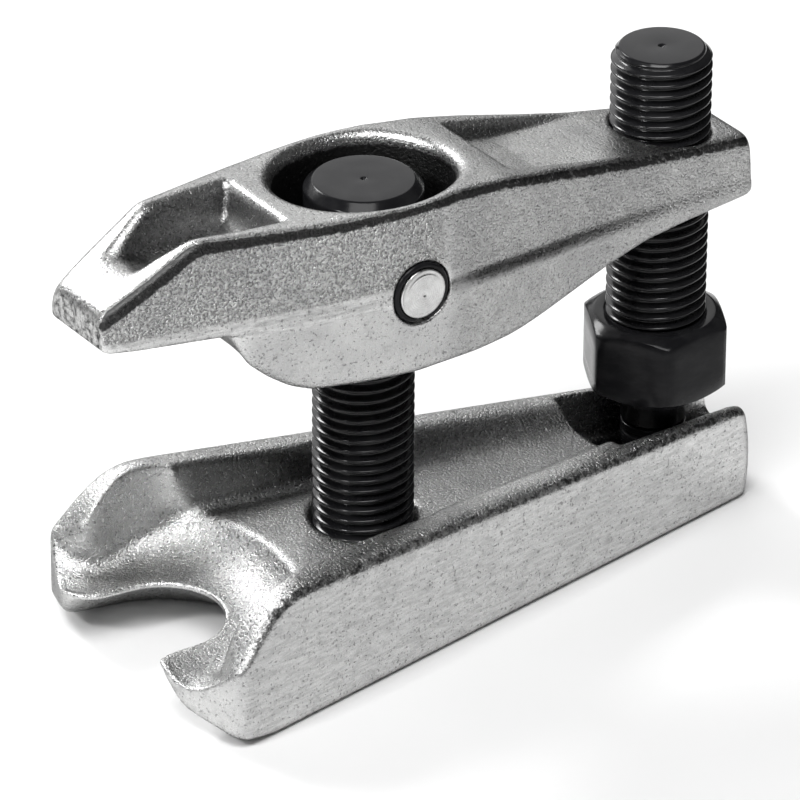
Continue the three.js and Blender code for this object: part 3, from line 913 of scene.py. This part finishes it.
def fork_pitted(x, y, z, n):
    return step(n[:, 2], 0.4, 0.8) * 0.12


def fork_ground(x, y, z, n):
    return step(outwards(y, n), 0.9, 0.98) * 0.8


def fork_painted_dark_reflection(x, y, z, n):
    # Painted dark reflection along the outer shoulders, fading in between z 8 and 14.
    strength = np.interp(x, [-50, -36, 0, 70], [0.2, 0.5, 0.42, 0.5])
    return outer_shoulder(y, n) * step(z, 8, 14) * strength


def fork_shade(x, y, z, n):
    """Painted shade on the channel's flanks and floor, and in the pocket over the shelf."""
    a = np.abs(y)
    flank = step(-outwards(y, n), 0.25, 0.6) * step(x, -28, -22) * step(z, FLOOR_Z - 0.5, FLOOR_Z + 1)
    floor = (np.abs(z - FLOOR_Z) < 1.2) * (a < FLANK_TOP(x)) * step(x, -27, -22)
    floor = floor * np.interp(x, [-20, 0, 48], [0.2, 0.35, 0.6])
    shelf = step(x, SHELF_X - 1.5, SHELF_X) * step(WALL_TOP(x) - z, 0.5, 2)
    shelf = shelf * (a < half_width(x) - SHELF_WALLS[1])
    return np.maximum.reduce([flank * 0.7, floor, shelf * 0.95])


def lever_pitted(x, y, z, n):
    outside = step(outwards(y, n), 0.5, 0.8)
    front = outside * step(6 - x, 0, 5) * step(z - PARTING(x), 1.2, 3.2)
    return front + outside * step(x, 4, 10) * 0.25


def groove(x, y, z, n):
    """The brushed groove under the ledge behind the pin."""
    across = 1 - step(np.abs(z - PARTING(x) + 0.1), 0.7, 2.3)
    return across * step(x, 4.5, 6) * step(62 - x, 0, 34) * np.abs(n[:, 1])


def lever_ground_and_painted_highlight(x, y, z, n):
    """The trimmed flash along the parting line, a painted highlight on the slope of the tip, and the
    groove.
    """
    band = 1 - step(np.abs(z - PARTING(x) - 0.6), 1.4, 2.4)
    flash = band * step(np.abs(n[:, 1]) + np.abs(n[:, 0]), 0.5, 0.8) * step(10 - x, 0, 8)
    # painted highlight on the tip's sloped top, marked like a ground face
    slope = step(-n[:, 0], 0.3, 0.45) * step(n[:, 2], 0.6, 0.8) * step(LEVER_TOP(x) + 1 - z, 0, 1)
    return np.maximum(flash, slope) + groove(x, y, z, n)


def inner_walls(y, n, low, high):
    """Walls that face the tool's long plane or lie across it, eased in from low to high."""
    return step(-outwards(y, n) + 0.6 * np.abs(n[:, 0]), low, high)


def beside_recess(x):
    """The stretch of the lever that the tip's recess takes up."""
    return step(-20 - x, 0, 3) * step(x, -56, -50)


# Painted dark reflection on the outer shoulders, painted shade in the groove, the tip's recess and the
# opening, and a darker front face of the tip.
def lever_painted_shade_and_dark_reflection(x, y, z, n):
    shoulder = outer_shoulder(y, n) * step(z - PARTING(x), 3, 5)
    shoulder = shoulder * np.interp(x, [-40, -30, 60], [0.95, 0.75, 0.6])
    depth = LEVER_TOP(x) - z
    recess = inner_walls(y, n, 0.25, 0.6) * step(depth, 1.0, 2.2) * beside_recess(x) * 0.3
    opening = step(depth, 1.2, 3.0) * (np.hypot(x / 17.4, y / 14) < 1) * 0.8
    face = step(-n[:, 0], 0.7, 0.95) * step(-50 - x, 0, 3) * 0.4
    return np.maximum.reduce([shoulder, groove(x, y, z, n) * 0.36, recess, opening, face])


# Painted shade on the walls of the tip's recess, in the rear dish and in the groove.
def lever_shade(x, y, z, n):
    depth = LEVER_TOP(x) - z
    inwards = inner_walls(y, n, 0.2, 0.6)
    recess = inwards * step(depth, 0.6, 1.8) * beside_recess(x)
    dish = step(depth, 0.5, 1.5) * step(x, 22, 25) * step(56 - x, 0, 4) * (n[:, 2] > 0.1)
    return np.maximum.reduce([recess * 0.8, dish * inwards * 0.8, groove(x, y, z, n) * 0.65])


# ---------- pieces ----------
def add_forging(name, body, node, field, low, high, masks):
    """A forging from its field between two corners, with its surface masks, in place of a CAD node."""
    obj = to_object(name, *surface_net(field, low, high, PITCH), plated)
    mask_forging(obj, masks)
    place(obj, body, node)


add_forging("fork_body_forging", "fork", "lower_body", fork_field,
            [FORK_TIP_X, -31.5, 0], [BODY_REAR_X, 31.5, 27],
            {"pitted": fork_pitted, "ground_and_painted_highlight": fork_ground, "painted_shade_and_dark_reflection": fork_painted_dark_reflection, "shade": fork_shade})
add_forging("lever_forging", "lever", "upper_lever", lever_field,
            [TIP_X, -19.2, 52.8], [LEVER_REAR_X, 19.2, 88],
            {"pitted": lever_pitted, "ground_and_painted_highlight": lever_ground_and_painted_highlight, "painted_shade_and_dark_reflection": lever_painted_shade_and_dark_reflection, "shade": lever_shade})

height_thread = to_object("height_screw_threaded", *height_screw(), black)
mask_thread(height_thread, HEAD_TOP - HEAD_HEIGHT - 2.1)
place(height_thread, "height_screw", "height_screw")

force_thread = to_object("forcing_screw_thread", *forcing_thread(), black)
mask_thread(force_thread, FORCE_TOP - 0.3)
place(force_thread, "forcing_screw", "forcing_screw")
force_hexagon = to_object("forcing_screw_hexagon", *hexagon(), black)
place(force_hexagon, "forcing_screw", "forcing_screw")

pin_verts, pin_faces = pin()
pivot_pin = to_object("pivot_pin_turned", lying(pin_verts), pin_faces, bright)
place(pivot_pin, "lever", "pivot_pin")
for end, side in (("near", -1), ("far", 1)):
    ring = to_object(f"pin_ring_{end}_wire", *pin_ring(side), black)
    place(ring, "lever", f"pin_ring_{end}")

thrust_cap = to_object("thrust_cap_turned", *cap(), black)
place(thrust_cap, "thrust_cap", "thrust_cap")


# ---------- stage, lights and camera ----------
floor_mesh = bpy.data.meshes.new("floor")
floor_mesh.from_pydata([(-3, -3, 0), (3, -3, 0), (3, 3, 0), (-3, 3, 0)], [], [(0, 1, 2, 3)])
floor = bpy.data.objects.new("floor", floor_mesh)
paint = Shader("floor", 0.0, 0.8)
floor.data.materials.append(paint.finish(
    paint.mix(paint.ramp(paint.noise(0.01, 2), 0.3, 0.7), grey(0.82), grey(0.84)),
    paint.ramp(paint.noise(0.05, 2), 0.3, 0.7, 0.75, 0.85),
    paint.bump(paint.noise(0.8, 2), 0.1, 0.1)))
bpy.context.scene.collection.objects.link(floor)

world = bpy.data.worlds.new("studio")
world.use_nodes = True
world.node_tree.nodes["Background"].inputs["Color"].default_value = (0.05, 0.05, 0.05, 1)
bpy.context.scene.world = world


def area_light(name, azimuth, elevation, distance, width, height, watts):
    a, e = math.radians(azimuth), math.radians(elevation)
    back = Vector((math.sin(a) * math.cos(e), -math.cos(a) * math.cos(e), math.sin(e)))
    light = bpy.data.lights.new(name, "AREA")
    light.shape = "RECTANGLE"
    light.size, light.size_y, light.energy = width, height, watts
    obj = bpy.data.objects.new(name, light)
    obj.location = back * distance + Vector((0, 0, 0.04))
    obj.rotation_mode = "QUATERNION"
    obj.rotation_quaternion = back.to_track_quat("Z", "Y")
    bpy.context.scene.collection.objects.link(obj)
    return obj


area_light("key", -84, 40, 1.0, 0.13, 0.13, 4)
area_light("rim", 192, 37, 1.2, 0.34, 0.3, 8)
area_light("back_panel", 172, 30, 1.3, 1.75, 1.1, 9)
area_light("front_top", -40, 64, 1.5, 0.9, 0.7, 20)
bpy.context.scene.view_settings.view_transform = "Standard"

VIEW_AZIMUTH, VIEW_ELEVATION, VIEW_ROLL = -34.65, 29.08, 0.31
VIEW_DISTANCE = 1.2398            # metres along the view to the height screw's foot
VIEW_OFFSET = (-6.59, -35.34)     # how far that foot lies right and up of the picture's centre, mm


def make_camera():
    a, e, roll = (math.radians(v) for v in (VIEW_AZIMUTH, VIEW_ELEVATION, VIEW_ROLL))
    back = Vector((math.sin(a) * math.cos(e), -math.cos(a) * math.cos(e), math.sin(e)))
    level = Vector((math.cos(a), math.sin(a), 0))
    steep = back.cross(level)
    right = level * math.cos(roll) + steep * math.sin(roll)
    up = steep * math.cos(roll) - level * math.sin(roll)
    foot = Vector((SCREW_X * MM, 0, 0))
    data = bpy.data.cameras.new("camera")
    data.lens, data.sensor_width = 315, 36
    data.clip_start, data.clip_end = 0.05, 20
    cam = bpy.data.objects.new("camera", data)
    cam.rotation_mode = "QUATERNION"
    cam.rotation_quaternion = Matrix((right, up, back)).transposed().to_quaternion()
    cam.location = foot - right * VIEW_OFFSET[0] * MM - up * VIEW_OFFSET[1] * MM + back * VIEW_DISTANCE
    bpy.context.scene.collection.objects.link(cam)
    bpy.context.scene.camera = cam


make_camera()
